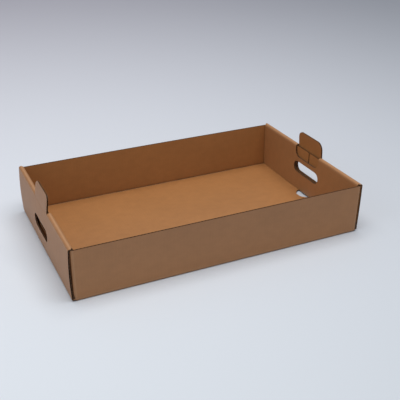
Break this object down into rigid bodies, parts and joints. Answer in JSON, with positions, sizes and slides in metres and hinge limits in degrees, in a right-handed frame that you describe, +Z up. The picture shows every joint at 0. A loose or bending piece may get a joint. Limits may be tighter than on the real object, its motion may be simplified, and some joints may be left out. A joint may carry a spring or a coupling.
{
  "type": "cardboard tray box",
  "caption": "Low open tray folded from one corrugated sheet, with rolled-over end walls, hand holes and rounded stacking tabs.",
  "frame": {"origin": "middle of the underside, on the table", "axes": "+X along the tray's length towards one end wall, +Y across it, +Z up"},
  "size_m": [0.6, 0.372, 0.1387],
  "materials": {
    "kraft_board": "matte brown kraft"
  },
  "bodies": {
    "root": {"folded_tray": "kraft_board"}
  },
  "joints": []
}
